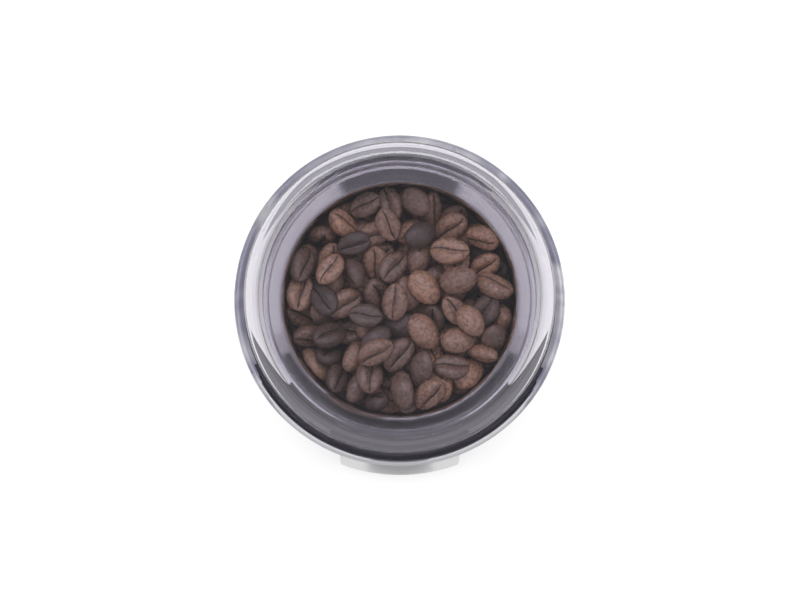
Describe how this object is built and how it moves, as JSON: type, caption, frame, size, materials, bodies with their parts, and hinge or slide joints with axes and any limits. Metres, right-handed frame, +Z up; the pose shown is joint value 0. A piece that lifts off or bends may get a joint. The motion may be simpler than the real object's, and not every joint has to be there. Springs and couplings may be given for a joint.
{
  "type": "electric spice grinder",
  "caption": "Press-lid electric spice grinder: smoked lid over a lift-out steel bowl with a winged blade, on a waisted motor base with a steel front panel.",
  "frame": {"origin": "standing surface, under the motor shaft's axis", "axes": "+Z up along the shaft; -Y is the front, where the steel panel's toe is; +X right seen from the front"},
  "size_m": [0.1028, 0.1148, 0.1909],
  "materials": {
    "foot_rubber": "soft matt black",
    "black_plastic": "fine-grained black moulding",
    "collar_plastic": "smooth black moulding",
    "foot_ring_plastic": "satin black moulding",
    "panel_steel": "brushed along its height",
    "plated_steel": "zinc plated",
    "gland_rubber": "matt black",
    "clamp_plastic": "natural nylon",
    "seal_rubber": "dark red",
    "bracket_metal": "die cast",
    "damper_rubber": "matt",
    "lamination_steel": "varnished laminations",
    "copper_wire": "enamelled wire",
    "bronze": "sintered bronze",
    "brush_brass": "pressed brass",
    "carbon": "dull graphite",
    "spring_steel": "bright wire",
    "shaft_steel": "ground steel",
    "commutator_copper": "turned copper",
    "fan_plastic": "off-white nylon",
    "coupling_plastic": "natural acetal",
    "bowl_steel": "polished stainless steel",
    "blade_steel": "ground stainless steel",
    "smoked_clear": "clear smoked moulding, glossy",
    "lid_seal_rubber": "translucent grey silicone",
    "rod_plastic": "acetal",
    "switch_plastic": "moulded case",
    "button_plastic": "red moulding",
    "board_laminate": "green resist",
    "capacitor_plastic": "dipped",
    "fuse_metal": "drawn can"
  },
  "bodies": {
    "base": {"feet": "foot_rubber", "base_cover": "black_plastic", "base_screws": "plated_steel", "housing": "black_plastic", "front_panel": "panel_steel", "panel_studs": "plated_steel", "panel_nuts": "plated_steel", "cord_gland": "gland_rubber", "cord_clamp": "clamp_plastic", "cord_clamp_screws": "plated_steel", "collar": "collar_plastic", "deck_screws": "plated_steel", "shaft_seal": "seal_rubber", "motor_top_bracket": "bracket_metal", "motor_bottom_bracket": "bracket_metal", "motor_bolts": "plated_steel", "motor_bolt_nuts": "plated_steel", "motor_dampers": "damper_rubber", "motor_mount_screws": "plated_steel", "stator_core": "lamination_steel", "field_coils": "copper_wire", "upper_bearing": "bronze", "lower_bearing": "bronze", "brush_holders": "brush_brass", "carbon_brushes": "carbon", "brush_springs": "spring_steel", "plunger_spring": "spring_steel", "microswitch": "switch_plastic", "switch_screws": "plated_steel", "circuit_board": "board_laminate", "capacitor": "capacitor_plastic", "thermal_fuse": "fuse_metal"},
    "armature": {"armature_core": "lamination_steel", "motor_shaft": "shaft_steel", "armature_winding": "copper_wire", "commutator": "commutator_copper", "cooling_fan": "fan_plastic", "drive_coupler": "coupling_plastic"},
    "bowl": {"bowl_cup": "bowl_steel", "bowl_base": "foot_ring_plastic", "bowl_hub": "bowl_steel", "hub_nut": "plated_steel", "bowl_bush": "bronze", "spindle_seal": "seal_rubber"},
    "blade": {"blade": "blade_steel", "blade_spindle": "shaft_steel", "blade_washer": "blade_steel", "blade_nut": "blade_steel", "driven_coupler": "coupling_plastic", "spindle_clip": "plated_steel"},
    "seal": {"lid_seal": "lid_seal_rubber"},
    "lid": {"lid": "smoked_clear"},
    "interlock_rod": {"interlock_plunger": "rod_plastic"},
    "switch_lever": {"switch_lever": "spring_steel"},
    "switch_button": {"switch_button": "button_plastic"}
  },
  "joints": [
    {"name": "bowl_lift", "type": "slide", "parent": "base", "child": "bowl", "axis": [0, 0, 1], "range_m": [0, 0.075]},
    {"name": "lid_lift", "type": "slide", "parent": "bowl", "child": "seal", "axis": [0, 0, 1], "range_m": [0, 0.06]},
    {"name": "lid_press", "type": "slide", "parent": "seal", "child": "lid", "axis": [0, 0, 1], "range_m": [-0.0035, 0], "stiffness_N_per_m": 600, "springref_m": 0.005},
    {"name": "rod_travel", "type": "slide", "parent": "base", "child": "interlock_rod", "axis": [0, 0, 1], "range_m": [-0.0036, 0], "deforming": ["plunger_spring"]},
    {"name": "lever_tilt", "type": "hinge", "parent": "base", "child": "switch_lever", "pos_m": [-0.0221, 0.02996, 0.0708], "axis": [-0.8526, 0.5225, 0], "range_deg": [-12, 0]},
    {"name": "button_travel", "type": "slide", "parent": "base", "child": "switch_button", "axis": [0, 0, 1], "range_m": [-0.0007, 0]},
    {"name": "motor_spin", "type": "hinge", "parent": "base", "child": "armature", "pos_m": [0, 0, 0.05], "axis": [0, 0, 1], "continuous": true},
    {"name": "blade_spin", "type": "hinge", "parent": "bowl", "child": "blade", "pos_m": [0, 0, 0.109], "axis": [0, 0, 1], "continuous": true}
  ],
  "couplings": [
    {"joint": "rod_travel", "follows": "lid_press", "ratio": 1},
    {"joint": "lever_tilt", "follows": "lid_press", "rad_per_m": 54},
    {"joint": "button_travel", "follows": "lid_press", "ratio": 0.17},
    {"joint": "blade_spin", "follows": "motor_spin", "ratio": 1}
  ]
}
